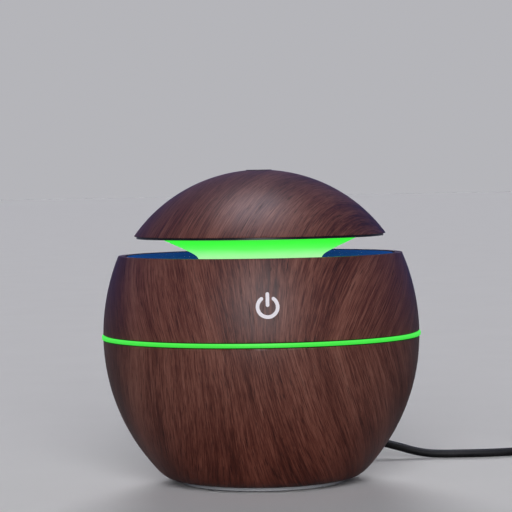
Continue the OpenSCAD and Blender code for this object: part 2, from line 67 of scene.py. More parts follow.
stand = look_at + CAMERA_DISTANCE * Vector((-math.sin(CAMERA_SIDE), -math.cos(CAMERA_SIDE), 0))
stand.z = CAMERA_HEIGHT
bpy.ops.object.camera_add(location=stand)
camera = bpy.context.object
camera.name = "camera"
camera.rotation_mode = "QUATERNION"
camera.rotation_quaternion = facing(stand, look_at) @ Quaternion((0, 0, 1), -TIP)
camera.data.lens = LENS
bpy.context.scene.camera = camera
print("camera at", tuple(round(c, 3) for c in stand))


# %% [markdown]
# ## Habits for working without a window
# Operators act on all that is selected, and the loaded nodes come in selected. So every step starts by
# deselecting, and each piece is made at the origin with its place in its mesh, as the frame's nodes are.

# %% Selecting
def deselect():
    if bpy.context.object and bpy.context.object.mode == "EDIT":
        bpy.ops.object.mode_set(mode="OBJECT")
    bpy.ops.object.select_all(action="DESELECT")


def take(*pieces):
    """Selects these pieces alone. The last one is the active one."""
    deselect()
    for piece in pieces:
        piece.select_set(True)
    bpy.context.view_layer.objects.active = pieces[-1]
    return pieces[-1]


def named(name):
    piece = bpy.context.object
    piece.name = piece.data.name = name
    return piece


def apply_modifier(piece, kind, **settings):
    take(piece)
    bpy.ops.object.modifier_add(type=kind)
    modifier = piece.modifiers[-1]
    for setting, value in settings.items():
        setattr(modifier, setting, value)
    bpy.ops.object.modifier_apply(modifier=modifier.name)


def round_edges(piece, width, segments=3, angle=32):
    """Rounds each corner sharper than angle by width mm, then shades the rest smooth."""
    apply_modifier(piece, "BEVEL", width=width * MM, segments=segments, limit_method="ANGLE",
                   angle_limit=math.radians(angle))
    smooth(piece)


def smooth(piece, angle=38):
    take(piece)
    bpy.ops.object.shade_smooth_by_angle(angle=math.radians(angle))


# %% [markdown]
# ## Turned parts
# Nearly every part of a globe humidifier is round, so it can be made as a potter would: draw half of its
# section and turn it once. A plane merged to one point starts the outline, extrude draws it point by
# point, and spin carries it round. A lathe modifier would do too, but spin leaves a plain mesh at once.

# %% Draw and turn
def draw(outline, closed=True):
    """In a new object, draws an outline of (x, z) points in mm as a chain of edges."""
    deselect()
    bpy.ops.mesh.primitive_plane_add(size=MM)
    piece = bpy.context.object
    bpy.ops.object.mode_set(mode="EDIT")
    bpy.ops.mesh.merge(type="CENTER")
    bpy.ops.transform.translate(value=(outline[0][0] * MM, 0, outline[0][1] * MM))
    ends = outline[1:] + outline[:1] if closed else outline[1:]
    for (x0, z0), (x1, z1) in zip(outline, ends):
        step = ((x1 - x0) * MM, 0, (z1 - z0) * MM)
        bpy.ops.mesh.extrude_region_move(TRANSFORM_OT_translate={"value": step})
    bpy.ops.mesh.select_all(action="SELECT")
    bpy.ops.mesh.remove_doubles(threshold=2e-6)
    return piece


def turned(name, outline, steps=160):
    """A solid of this section, as (radius, height) in mm, about the globe's axis."""
    draw(outline)
    bpy.ops.mesh.select_all(action="SELECT")
    bpy.ops.mesh.spin(steps=steps, angle=WHOLE_TURN, center=(0, 0, 0), axis=(0, 0, 1))
    bpy.ops.mesh.select_all(action="SELECT")
    bpy.ops.mesh.remove_doubles(threshold=2e-6)
    bpy.ops.mesh.normals_make_consistent(inside=False)
    bpy.ops.object.mode_set(mode="OBJECT")
    return named(name)


def sweep(centre_x, centre_z, radius, first, last, count):
    """Points of an arc, first and last in degrees from the outward direction."""
    angles = [math.radians(first + (last - first) * i / count) for i in range(count + 1)]
    return [(centre_x + radius * math.cos(a), centre_z + radius * math.sin(a)) for a in angles]


# %% Boxes, cutting and joining
def block(name, low, high):
    """A box between two corners in mm, shaped from a cube in edit mode."""
    deselect()
    bpy.ops.mesh.primitive_cube_add(size=MM)
    bpy.ops.object.mode_set(mode="EDIT")
    bpy.ops.transform.resize(value=tuple(b - a for a, b in zip(low, high)))
    bpy.ops.transform.translate(value=tuple((a + b) / 2 * MM for a, b in zip(low, high)))
    bpy.ops.object.mode_set(mode="OBJECT")
    return named(name)


def peg(name, x, y, radius, low, high, vertices=32):
    """An upright round peg."""
    deselect()
    bpy.ops.mesh.primitive_cylinder_add(vertices=vertices, radius=radius * MM, depth=(high - low) * MM)
    bpy.ops.object.mode_set(mode="EDIT")
    bpy.ops.transform.translate(value=(x * MM, y * MM, (low + high) / 2 * MM))
    bpy.ops.object.mode_set(mode="OBJECT")
    return named(name)


def combine(piece, tool, operation="DIFFERENCE"):
    apply_modifier(piece, "BOOLEAN", operation=operation, object=tool, solver="EXACT")
    bpy.data.objects.remove(tool)


def bevel_along_y(piece, corner):
    """Rounds the edges that run along Y by corner mm."""
    for edge in piece.data.edges:
        a, b = (piece.data.vertices[i].co for i in edge.vertices)
        edge.select = abs((b - a).normalized().y) > 0.99
    take(piece)
    bpy.ops.object.mode_set(mode="EDIT")
    bpy.ops.mesh.bevel(offset=corner * MM, segments=8, affect="EDGES")
    bpy.ops.object.mode_set(mode="OBJECT")


def diagonals(out):
    """The four places this far out from the axis, halfway between front, sides and back."""
    return [(out * math.cos(a), out * math.sin(a)) for a in map(math.radians, (45, 135, 225, 315))]


def placed(piece, turn=(0, 0, 0), move=(0, 0, 0)):
    """Turns and moves a piece, then puts that into its mesh."""
    take(piece)
    piece.rotation_euler = [math.radians(a) for a in turn]
    piece.location = Vector(move) * MM
    bpy.ops.object.transform_apply(location=True, rotation=True, scale=True)
    return piece


# %% [markdown]
# ## The free lead
# A USB lead of about 1 m, 2.8 mm thick, leaves the socket low at the back. It runs out straight, sinks to
# the table, and goes off to the right, where the length that isn't in use is wound in a round coil with
# its plug beside it. It is one curve, so its length can be measured, and its points are the route that the
# engineering model settled.

# %% The lead's route
CORD = 2.8
LEAD_ROUTE = [
    (0, 62, 13), (0, 66, 13), (0.8, 69.8, 12.9), (3.2, 72.9, 12.8), (6.7, 74.7, 12.5), (10.6, 74.9, 12.1),
    (14.2, 73.4, 11.7), (20, 69.3, 10.7), (26, 65.1, 9.5), (32, 61, 8.1), (37, 57.6, 6.8), (41, 55.1, 5.7),
    (45, 53.1, 4.6), (49.5, 51.5, 3.5), (54, 50.4, 2.3), (58.5, 49.5, 1.6), (63, 48.8, 1.4), (68, 48.4, 1.4),
    (73, 48.3, 1.4), (78, 48.6, 1.4), (83, 49.4, 1.4), (88, 50.6, 1.4), (94, 52.1, 1.4), (100, 53.3, 1.4),
    (105.5, 54, 1.4), (111, 54.2, 1.4), (116, 54.2, 1.4),
]
TAIL_ROUTE = [
    (116, 54.2, 9.8), (122, 54.1, 9.6), (128, 52.8, 8.4), (133, 50, 6.4), (137, 46, 4.2),
    (139.6, 41.2, 2.5), (140.5, 36.2, 2), (140.5, 31.8, 3), (140.5, 27.8, 4), (140.5, 24.8, 4),
]
COIL_AT, COIL_MIDDLE = (116, 71.6), 16
COIL_TURNS = [  # radius and height of each turn
    (17.4, 1.4), (14.6, 1.4), (14.6, 4.2), (17.4, 4.2), (17.4, 7), (14.6, 7), (14.6, 9.8), (17.4, 9.8)]
POINTS_A_TURN = 20
CHANGE = 0.2  # the share of a turn in which the lead moves over to the next place


def coil_point(turn, part):
    """Where the lead is on its coil, part of the way round a turn."""
    here, there = COIL_TURNS[turn], COIL_TURNS[min(turn + 1, len(COIL_TURNS) - 1)]
    t = max(0, (part - 1 + CHANGE) / CHANGE)
    t = t * t * (3 - 2 * t)
    radius, height = (a + (b - a) * t for a, b in zip(here, there))
    angle = WHOLE_TURN * (part - 0.25)
    return (COIL_AT[0] + radius * math.cos(angle), COIL_AT[1] + radius * math.sin(angle), height)


coil_route = [coil_point(turn, k / POINTS_A_TURN)
              for turn in range(len(COIL_TURNS)) for k in range(POINTS_A_TURN)]
route = LEAD_ROUTE[:-1] + coil_route + TAIL_ROUTE


# %% The lead's curve
deselect()
bpy.ops.curve.primitive_bezier_curve_add()
lead = named("free_lead")
lead.data.splines.remove(lead.data.splines[0])
spline = lead.data.splines.new("BEZIER")
spline.bezier_points.add(len(route) - 1)
for point, spot in zip(spline.bezier_points, route):
    point.co = Vector(spot) * MM
    point.radius = MM
    point.handle_left_type = point.handle_right_type = "AUTO"
lead.data.dimensions = "3D"
lead.data.resolution_u = 5
lead.data.bevel_depth = CORD / 2
lead.data.bevel_resolution = 3
lead.data.use_fill_caps = True
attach(lead, "lead")
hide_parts("cord_lead", "cord_coil", "cord_tail")


# %% [markdown]
# ## The lead's moulded ends
# A moulded relief tapers from the plug to the lead and is ringed, so that it bends evenly. It is turned
# like the globe's parts and then laid along the lead.

# %% Strain reliefs
def relief(name, wide, narrow, length, rings, turn, move):
    """A ringed taper, wide at the plug and narrow at the lead."""
    hole = CORD / 2 - 0.1
    outline = [(hole, 0), (wide, 0)]
    pitch = length / (rings + 0.4)
    for i in range(rings):
        low, high = pitch * (i + 0.6), pitch * (i + 0.88)
        r = [wide + (narrow - wide) * z / length for z in (low, high)]
        groove = narrow + 0.02
        outline += [(r[0], low), (groove, low + 0.12), (groove, high - 0.12), (r[1], high)]
    outline += [(narrow, length), (hole, length)]
    piece = turned(name, outline, steps=32)
    round_edges(piece, 0.1, segments=2)
    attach(placed(piece, turn, move), "lead")
    return piece


micro_relief = relief("micro_relief", 2.5, 1.6, 9, 4, (-90, 0, 0), (0, 53, 13))
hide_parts("micro_strain_relief")
large_relief = relief("large_relief", 3, 1.6, 9, 4, (-90, 0, 0), (140.5, 15.8, 4))
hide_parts("usb_a_strain_relief")


# %% [markdown]
# ## The plugs' grips
# Each grip is a moulded block with rounded sides and a few cross ribs for the fingers. The long edges are
# picked by their direction and bevelled wide, then the ribs' grooves are cut with one slim box, copied.

# %% Plug grips
def grip(name, middle, size, corner, grooves, groove_wide):
    """A plug's moulded grip. middle and size are in mm, and its length lies along Y."""
    low = [m - s / 2 for m, s in zip(middle, size)]
    high = [m + s / 2 for m, s in zip(middle, size)]
    piece = block(name, low, high)
    bevel_along_y(piece, corner)
    for k in range(grooves):
        y = middle[1] + (k - (grooves - 1) / 2) * 2
        for side in (-1, 1):
            face = middle[2] + side * size[2] / 2
            combine(piece, block("groove", (middle[0] - groove_wide / 2, y - 0.4, face - 0.45),
                                 (middle[0] + groove_wide / 2, y + 0.4, face + 0.45)))
    round_edges(piece, 0.18, segments=3, angle=50)
    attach(piece, "lead")
    return piece


micro_grip = grip("micro_grip", (0, 45.1, 13), (10.6, 15.8, 6.6), 2.2, 4, 5.2)
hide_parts("micro_plug_body")
large_grip = grip("large_grip", (140.5, 3.3, 4), (15.6, 25, 8), 2, 6, 9)
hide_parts("usb_a_body")
print("grips have", len(micro_grip.data.polygons), "and", len(large_grip.data.polygons), "faces")


# %% [markdown]
# ## The coil's tie
# A rubber strap closes round the coil's turns. It is a box, hollowed through, with every edge rounded and
# a raised lip on its outer side where the strap's end is held.

# %% Tie
tie = block("lead_tie", (-3.8, -2.5, 0), (3.8, 2.5, 12.2))
combine(tie, block("tie_hole", (-3.1, -3, 0.02), (2.85, 3, 11.25)))
combine(tie, block("tie_lip", (3.2, -1.9, 3.6), (4.5, 1.9, 8.6)), "UNION")
round_edges(tie, 0.25, segments=3)
TIE_TURN = 60
tie_at = [COIL_AT[0] + COIL_MIDDLE * math.cos(math.radians(TIE_TURN)),
          COIL_AT[1] + COIL_MIDDLE * math.sin(math.radians(TIE_TURN)), 0]
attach(placed(tie, (0, 0, TIE_TURN), tie_at), "lead")
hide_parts("cord_tie")


# %% [markdown]
# ## Floor and studio light
# A large soft box at the camera's side gives nearly all the light, so the globe turns dark towards its
# sides. One overhead only shows as the soft gloss on the cap, and one behind keeps the floor pale.
# Sun lamps with a wide angle act as such boxes, and light the floor evenly up to its far edge.

# %% Floor and lamps
deselect()
bpy.ops.mesh.primitive_plane_add(size=24)
floor = named("floor")
# Each lamp's row says where its light comes from, its strength, its width in degrees, its colour, and
# whether it lights surfaces and shows as gloss.
LAMPS = {
    "soft_box_front": ((-0.05, -1.3, 0.45), 2.4, 40, (0.985, 0.975, 1.0), True, True),
    "soft_box_above": ((-0.04, 0.11, 1.1), 1.9, 32, (0.9, 0.89, 1.0), False, True),
    "soft_box_back": ((0.0, 1.2, 0.65), 1.7, 30, (0.985, 0.975, 1.0), True, False),
}
for name, (place, strength, width, colour, lights, gloss) in LAMPS.items():
    bpy.ops.object.light_add(type="SUN", location=place)
    lamp = named(name)
    lamp.rotation_mode = "QUATERNION"
    lamp.rotation_quaternion = facing(place, (0, 0, 0))
    lamp.data.energy = strength
    lamp.data.angle = math.radians(width)
    lamp.data.color = colour
    lamp.visible_diffuse, lamp.visible_glossy = lights, gloss
print(len(LAMPS), "lamps")


# %% [markdown]
# ## A short way to write shader nodes
# A finish is a small graph. These helpers add a node, set or link its inputs, and hand back its output,
# so that each finish below reads like a recipe.

# %% Shader helpers
def plug(tree, value, socket):
    if isinstance(value, bpy.types.NodeSocket):
        tree.links.new(value, socket)
    else:
        socket.default_value = value


def add(tree, kind, inputs, output=0, **settings):
    """Adds a shader node and returns one output. inputs maps a name or number to a value or an output."""
    node = tree.nodes.new("ShaderNode" + kind)
    for setting, value in settings.items():
        setattr(node, setting, value)
    for key, value in inputs.items():
        plug(tree, value, node.inputs[key])
    return node.outputs[output]


def sums(tree, operation, *terms, clamp=False):
    return add(tree, "Math", dict(enumerate(terms)), operation=operation, use_clamp=clamp)


def noise(tree, place, stretch, detail=2, rough=0.5):
    """Noise over place, stretch being how many features it has per unit along each axis."""
    stretched = add(tree, "VectorMath", {0: place, 1: stretch}, operation="MULTIPLY")
    return add(tree, "TexNoise", {"Vector": stretched, "Scale": 1.0, "Detail": detail, "Roughness": rough})


def spread(tree, value, low, high, to_low=0.0, to_high=1.0):
    """Maps low..high to another range, smoothly and clamped."""
    return add(tree, "MapRange", {"Value": value, "From Min": low, "From Max": high, "To Min": to_low,
                                  "To Max": to_high}, interpolation_type="SMOOTHSTEP")


def blended(tree, share, first, second, blend="MIX"):
    node = tree.nodes.new("ShaderNodeMix")
    node.data_type, node.blend_type = "RGBA", blend
    for socket, value in zip((node.inputs[0], node.inputs[6], node.inputs[7]), (share, first, second)):
        plug(tree, value, socket)
    return node.outputs[2]


def axes(tree, place):
    """The x, y and z of a place."""
    parts = tree.nodes.new("ShaderNodeSeparateXYZ")
    tree.links.new(place, parts.inputs[0])
    return parts.outputs


def out_from_axis(tree, place):
    """How far a place is from the globe's axis."""
    x, y, _ = axes(tree, place)
    flat = add(tree, "CombineXYZ", {"X": x, "Y": y})
    return add(tree, "VectorMath", {0: flat}, output=1, operation="LENGTH")


def tone_ramp(tree, share, tones):
    """Goes through tones, each a position and a colour, as share goes from 0 to 1."""
    ramp = tree.nodes.new("ShaderNodeValToRGB")
    tree.links.new(share, ramp.inputs[0])
    for _ in tones[2:]:
        ramp.color_ramp.elements.new(0.5)
    for stop, (position, colour) in zip(ramp.color_ramp.elements, tones):
        stop.position, stop.color = position, colour
    return ramp.outputs[0]


def shade(red, green, blue):
    """A colour given as screen values from 0 to 255, as the linear colour that shaders use."""
    shares = [c / 255 for c in (red, green, blue)]
    return (*(c / 12.92 if c <= 0.04 else ((c + 0.055) / 1.055) ** 2.4 for c in shares), 1.0)


def new_group(name, inputs, outputs):
    """A shader node group. inputs maps a name to (type, value), outputs a name to a type."""
    tree = bpy.data.node_groups.new(name, "ShaderNodeTree")
    for label, (kind, value) in inputs.items():
        socket = tree.interface.new_socket(label, in_out="INPUT", socket_type="NodeSocket" + kind)
        if value is not None:
            socket.default_value = value
    for label, kind in outputs.items():
        tree.interface.new_socket(label, in_out="OUTPUT", socket_type="NodeSocket" + kind)
    return tree, tree.nodes.new("NodeGroupInput").outputs, tree.nodes.new("NodeGroupOutput").inputs


def use_group(tree, group, inputs):
    node = tree.nodes.new("ShaderNodeGroup")
    node.node_tree = group
    for key, value in inputs.items():
        plug(tree, value, node.inputs[key])
    return node.outputs


def new_finish(name, **sockets):
    """A material with a plain shader. sockets are its even values, as Coat_Weight=0.3."""
    material = bpy.data.materials.new(name)
    material.use_nodes = True
    tree = material.node_tree
    shader = next(n for n in tree.nodes if n.type == "BSDF_PRINCIPLED")
    for key, value in sockets.items():
        shader.inputs[key.replace("_", " ")].default_value = value
    place = tree.nodes.new("ShaderNodeTexCoord").outputs["Object"]
    in_mm = add(tree, "VectorMath", {0: place, "Scale": 1000.0}, operation="SCALE")
    return material, tree, shader.inputs, in_mm


def relief_of(tree, height, depth, strength=1.0):
    """Bump from a height mask, depth being its full depth in mm."""
    return add(tree, "Bump", {"Height": height, "Distance": depth * MM, "Strength": strength})


def wear(piece, material):
    piece.data.materials.clear()
    piece.data.materials.append(material)


# %% [markdown]
# ## The wood print
# The grain is a printed film, so it is colour more than relief. Real film is drawn over the form: on the
# upper shell the grain fans out to both sides, on the bowl it runs down and to the right, and over the
# cap it goes across in a slight bow. Noise that is squeezed across the grain and stretched along it gives the
# fibres, a second one with a threshold gives the short dark pores, and a broad one the tone bands. Towards
# each part's foot the print is darkened with a red tint, as painted shade.

# %% Wood print group
wood_print, given, put = new_group(
    "wood_print",
    {"Place": ("Vector", None), "Fan": ("Float", 0.0), "Bend": ("Float", 0.0), "Twist": ("Float", 0.0),
     "Draw": ("Float", 0.0), "Across": ("Float", 0.0), "Low": ("Float", 0.0), "High": ("Float", 1.0),
     "Deepen": ("Float", 0.0)},
    {"Colour": "Color", "Roughness": "Float", "Height": "Float"})
x, y, z = axes(wood_print, given["Place"])
WAIST_RADIUS, WAIST_HEIGHT = 50.0, 46.8
round_angle = sums(wood_print, "ARCTAN2", x, sums(wood_print, "MULTIPLY", y, -1.0))
side_share = sums(wood_print, "SINE", round_angle)
radius = sums(wood_print, "SQRT", sums(wood_print, "ADD", sums(wood_print, "MULTIPLY", x, x),
                                       sums(wood_print, "MULTIPLY", y, y)))
lean = sums(wood_print, "MULTIPLY_ADD", side_share, given["Fan"], given["Twist"])
lean = sums(wood_print, "MULTIPLY_ADD", sums(wood_print, "MULTIPLY", side_share, side_share),
            given["Bend"], lean)
above_waist = sums(wood_print, "SUBTRACT", z, WAIST_HEIGHT)
shift = sums(wood_print, "DIVIDE", sums(wood_print, "MULTIPLY", lean, above_waist), WAIST_RADIUS)
narrowing = sums(wood_print, "MULTIPLY_ADD", radius, 1 / WAIST_RADIUS, -1.0)
drawn_in = sums(wood_print, "MULTIPLY", sums(wood_print, "MULTIPLY", narrowing, side_share), given["Draw"])
angle = sums(wood_print, "ADD", sums(wood_print, "SUBTRACT", round_angle, shift), drawn_in)
around = add(wood_print, "CombineXYZ", {
    "X": sums(wood_print, "MULTIPLY", sums(wood_print, "SINE", angle), WAIST_RADIUS),
    "Y": sums(wood_print, "MULTIPLY", sums(wood_print, "COSINE", angle), WAIST_RADIUS), "Z": z})
CAP_GRAIN = math.radians(53)  # the way the grain runs over the cap, from the right towards the back
CAP_BOW = 0.0035  # and how much it bows to the sides
bowed = sums(wood_print, "MULTIPLY", sums(wood_print, "MULTIPLY", x, x), CAP_BOW)
over = add(wood_print, "CombineXYZ", {
    "X": sums(wood_print, "ADD", bowed, sums(
        wood_print, "SUBTRACT", sums(wood_print, "MULTIPLY", x, math.sin(CAP_GRAIN)),
        sums(wood_print, "MULTIPLY", y, math.cos(CAP_GRAIN)))),
    "Y": 20.0,
    "Z": sums(wood_print, "ADD", sums(wood_print, "MULTIPLY", x, math.cos(CAP_GRAIN)),
              sums(wood_print, "MULTIPLY", y, math.sin(CAP_GRAIN)))})
grain_node = wood_print.nodes.new("ShaderNodeMix")
grain_node.data_type = "VECTOR"
for socket, value in zip((grain_node.inputs[0], grain_node.inputs[4], grain_node.inputs[5]),
                         (given["Across"], around, over)):
    plug(wood_print, value, socket)
grain = grain_node.outputs[1]
wander = add(wood_print, "TexNoise", {"Vector": add(
    wood_print, "VectorMath", {0: grain, 1: (0.07, 0.07, 0.028)}, operation="MULTIPLY"),
    "Scale": 1.0, "Detail": 2.0}, output=1)
grain = add(wood_print, "VectorMath", {0: wander, 1: (1.6, 1.6, 0.0), 2: grain}, operation="MULTIPLY_ADD")
tone = noise(wood_print, grain, (0.11, 0.11, 0.012), detail=3)
band = noise(wood_print, grain, (0.5, 0.5, 0.025), detail=3, rough=0.6)
fibre = noise(wood_print, grain, (1.9, 1.9, 0.07), detail=4, rough=0.62)
hair = noise(wood_print, grain, (5.2, 5.2, 0.24), detail=3, rough=0.6)
pore = spread(wood_print, noise(wood_print, grain, (3.0, 3.0, 0.2), detail=3, rough=0.65), 0.56, 0.68)
light = sums(wood_print, "MULTIPLY", tone, 0.22)
for layer, weight in ((band, 0.13), (fibre, 0.28), (hair, 0.31)):
    light = sums(wood_print, "ADD", light, sums(wood_print, "MULTIPLY", layer, weight))
WOOD_TONES = [(0.0, shade(54, 27, 23)), (0.35, shade(88, 49, 41)),
              (0.7, shade(114, 71, 60)), (1.0, shade(136, 92, 79))]
PORE_TONE, PAINTED_SHADE_TINT = shade(22, 11, 12), (0.80, 0.48, 0.38, 1)
printed = tone_ramp(wood_print, spread(wood_print, light, 0.325, 0.605), WOOD_TONES)
tinted = blended(wood_print, sums(wood_print, "MULTIPLY", pore, 0.62), printed, PORE_TONE)
# Painted shade: below the height High the print is multiplied more and more by a dark red tint, fully at Low,
# so each part is darker towards its foot.
painted_shade_share = sums(wood_print, "MULTIPLY", spread(wood_print, z, given["High"], given["Low"]),
                   given["Deepen"])
shaded_print = blended(wood_print, 1.0, tinted, PAINTED_SHADE_TINT, "MULTIPLY")
plug(wood_print, blended(wood_print, painted_shade_share, tinted, shaded_print), put["Colour"])
plug(wood_print, sums(wood_print, "MULTIPLY_ADD", pore, 0.12, sums(
    wood_print, "MULTIPLY_ADD", fibre, 0.1, 0.36)), put["Roughness"])
plug(wood_print, sums(wood_print, "SUBTRACT", sums(wood_print, "MULTIPLY", hair, 0.5), pore), put["Height"])
print("wood print has", len(wood_print.nodes), "nodes")


# %% Wood finishes
def wood_finish(name, **flow):
    """The print on one part, flow being the way its film was drawn over the form."""
    material, tree, sockets, place = new_finish(name, Specular_IOR_Level=0.28)
    film = use_group(tree, wood_print, {"Place": place, **flow})
    plug(tree, film["Colour"], sockets["Base Color"])
    plug(tree, film["Roughness"], sockets["Roughness"])
    plug(tree, relief_of(tree, film["Height"], 0.02, 0.5), sockets["Normal"])
    return material


# Each finish also sets how much painted shade darkens its print towards its foot; the bowl gets the most.
shell_wood = wood_finish("shell_wood", Fan=0.85, Bend=0.35, Low=20.0, High=75.0, Deepen=0.15)
bowl_wood = wood_finish("bowl_wood", Fan=-0.3, Twist=-0.22, Draw=0.95, Low=0.0, High=40.0, Deepen=0.72)
cap_wood = wood_finish("cap_wood", Across=1.0, Low=70.0, High=100.0, Deepen=0.1)


# %% [markdown]
# ## The globe's two shells
# Both shells follow side arcs that are upright at the waist. The bowl's lower corner is rounded down to a
# flat foot over the base, and the upper shell has an inner ledge for the tank. A small rounding at the
# edges catches the light and shows that the shells are moulded.

# %% Upper shell and bowl
BOWL_SIDE, SHELL_SIDE, WALL = 62.0, 66.0, 2.0  # radii of the two side arcs, and the wall
RIM = 72.3
RING_LOW, RING_HIGH, SHADOW_GAP = 46.175, 47.425, 0.3


def side(arc, first, last, count, inset=0.0):
    """Points along a side arc of the globe between two heights."""
    heights = [first + (last - first) * i / count for i in range(count + 1)]
    centre = WAIST_RADIUS - arc
    return [(centre + math.sqrt((arc - inset) ** 2 - (h - WAIST_HEIGHT) ** 2), h) for h in heights]


shell_low = RING_HIGH + SHADOW_GAP
upper_shell = turned("printed_upper_shell", [
    *side(SHELL_SIDE, shell_low, RIM, 40), *side(SHELL_SIDE, RIM, 69.1, 4, WALL), (38.4, 69.1), (38.4, 67.4),
    *side(SHELL_SIDE, 67.4, shell_low, 24, WALL)], steps=192)
for across, along in diagonals(41.2):
    combine(upper_shell, peg("boss", across, along, 2.3, 66.4, 67.6), "UNION")
round_edges(upper_shell, 0.3, segments=4)
wear(upper_shell, shell_wood)
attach(upper_shell, "root")
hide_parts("upper_shell")

bowl_top = RING_LOW - SHADOW_GAP
bowl = turned("printed_bowl", [
    (27.9, 1.65), (29.5, 1.98), (30.9, 2.55), (32.1, 3.35), *side(BOWL_SIDE, 4.4, bowl_top, 64),
    *side(BOWL_SIDE, bowl_top, 43, 4, WALL), (44.6, 43), (44.6, 41.4), *side(BOWL_SIDE, 41.4, 4.4, 40, WALL),
    (24.4, 4.4), (24.4, 2.8), (25.9, 2.8), (25.9, 1.65)], steps=192)
for across, along in diagonals(22.2):
    combine(bowl, peg("boss", across, along, 3, 2.8, 9), "UNION")
    combine(bowl, peg("pilot", across, along, 0.8, 1, 8, vertices=16))
combine(bowl, block("fan_way", (-12.7, -23.7, 2.6), (12.7, 1.7, 6)))
for across in (-9.5, 9.5):
    combine(bowl, peg("post_way", across, 21.5, 2.4, 2.6, 6))
print("shells have", len(upper_shell.data.polygons), "and", len(bowl.data.polygons), "faces")


# %% [markdown]
# ## The socket's pocket
# The lead's plug sits in a rounded pocket low at the back of the bowl. A block inside the wall carries the
# socket, and a rounded cutter as wide as the plug's grip opens the wall, the same way the tool's slide
# would in the mould.

# %% Pocket
def rounded_bar(name, wide, high, corner, first, last, height):
    """A bar along Y with rounded long edges, from first to last in mm."""
    bar = block(name, (-wide / 2, first, height - high / 2), (wide / 2, last, height + high / 2))
    bevel_along_y(bar, corner)
    return bar


PORT_HEIGHT = 13
socket_block = block("socket_block", (-8, 34.4, 7.4), (8, 40, 18.6))
combine(bowl, socket_block, "UNION")
combine(bowl, rounded_bar("pocket", 12.4, 8.2, 2.4, 36.6, 50, PORT_HEIGHT))
combine(bowl, rounded_bar("socket_way", 8.2, 3.4, 0.8, 34, 38, PORT_HEIGHT))
round_edges(bowl, 0.3, segments=3, angle=40)
wear(bowl, bowl_wood)
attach(bowl, "root")
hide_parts("lower_shell")


# %% [markdown]
# ## The cap
# The lid's cap is a slice of a thin ball with a hole in its crown for the mist. Its section is two arcs
# about the ball's centre, joined at the edge and at the hole.

# %% Cap
CROWN, CAP_RADIUS, CAP_EDGE = 98.9, 49.0, 78.4
CAP_CENTRE = CROWN - CAP_RADIUS


def on_cap(radius, height=None, out=None):
    """The angle on the cap's arc at a height or at a distance out from the axis."""
    return math.degrees(math.asin((height - CAP_CENTRE) / radius) if out is None else math.acos(out / radius))


inner = CAP_RADIUS - WALL
cap = turned("printed_cap", [
    *sweep(0, CAP_CENTRE, CAP_RADIUS, on_cap(CAP_RADIUS, CAP_EDGE), on_cap(CAP_RADIUS, out=4.1), 56),
    *sweep(0, CAP_CENTRE, inner, on_cap(inner, out=4.1), on_cap(inner, CAP_EDGE), 32)], steps=192)
round_edges(cap, 0.25, segments=3)
wear(cap, cap_wood)
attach(cap, "lid")
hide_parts("cap_shell")


# %% [markdown]
# ## The lit parts
# The ring and the trumpet are translucent and lit from inside, so they give light of their own. The
# trumpet is bright green at its top and pales towards its neck, where the lamps are near.

# %% Light ring and trumpet
light_ring = turned("light_band", [
    (44.2, RING_LOW), (46.6, RING_LOW), (46.6, 43.575), (47.85, 43.575), (47.85, RING_LOW),
    (50.4, RING_LOW), (50.4, RING_HIGH), (47.85, RING_HIGH), (47.85, 50.025), (46.6, 50.025),
    (46.6, RING_HIGH), (44.2, RING_HIGH)], steps=192)
round_edges(light_ring, 0.18, segments=3)
trumpet = turned("light_trumpet", [
    (6, 64.6), (25.2, 64.6), (25.2, 66.2), (19.4, 66.2), (19.4, 70.4), (19.54, 71.1), (20, 71.8),
    (20.75, 72.4), (21.8, 73), (23.3, 73.75), (25, 74.6), (27, 75.5), (29.3, 76.58), (31.8, 77.7),
    (20.5, 77.7), (20.5, 76.3), (26.5, 76.3), (19.3, 72.5), (18.5, 71.8), (18.04, 71.1), (17.9, 70.4),
    (17.9, 66.2), (6, 66.2)], steps=160)
round_edges(trumpet, 0.12, segments=2)
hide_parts("light_ring")
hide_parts("light_funnel")
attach(light_ring, "root")
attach(trumpet, "lid")


# %% Lit finishes
def lit_finish(name, low, high, tones, painted_shade_within=0.0):
    """Plastic lit from inside, its colour going through tones from the height low to high. Nearer the
    axis than the given radius its glow gives way to a near-black painted shade, where the ring's lips sit in
    the gaps between the shells."""
    material, tree, sockets, place = new_finish(
        name, Roughness=0.4, Specular_IOR_Level=0.25, Emission_Strength=1.0)
    cloud = noise(tree, place, (0.16, 0.16, 0.3), detail=2)
    height = sums(tree, "MULTIPLY_ADD", cloud, (high - low) * 0.12, axes(tree, place)[2])
    share = add(tree, "MapRange", {"Value": height, "From Min": low, "From Max": high})
    speck = spread(tree, noise(tree, place, (2.2, 2.2, 2.2), detail=2), 0.3, 0.7, 0.94, 1.0)
    even = add(tree, "CombineColor", {0: speck, 1: speck, 2: speck})
    glow = blended(tree, 1.0, tone_ramp(tree, share, tones), even, "MULTIPLY")
    # Painted shade: near the axis the glow fades to near black, for the ring's lips in the gaps between the
    # shells.
    unshaded_share = spread(tree, out_from_axis(tree, place), painted_shade_within - 1, painted_shade_within)
    glow = blended(tree, unshaded_share, (0.0, 0.004, 0.0, 1), glow)
    plug(tree, glow, sockets["Emission Color"])
    plug(tree, blended(tree, 1.0, glow, (0.05, 0.06, 0.05, 1), "MULTIPLY"), sockets["Base Color"])
    return material


ring_lit = lit_finish("ring_lit", RING_LOW, RING_HIGH, [
    (0.0, shade(56, 214, 60)), (1.0, shade(84, 244, 84))], painted_shade_within=49.9)
trumpet_lit = lit_finish("trumpet_lit", 71.5, 78.0, [
    (0.0, shade(182, 250, 176)), (0.3, shade(140, 252, 140)), (0.55, shade(88, 255, 88)),
    (0.8, shade(62, 255, 62)), (0.95, shade(64, 252, 64)), (1.0, shade(100, 240, 110))])
wear(light_ring, ring_lit)
wear(trumpet, trumpet_lit)
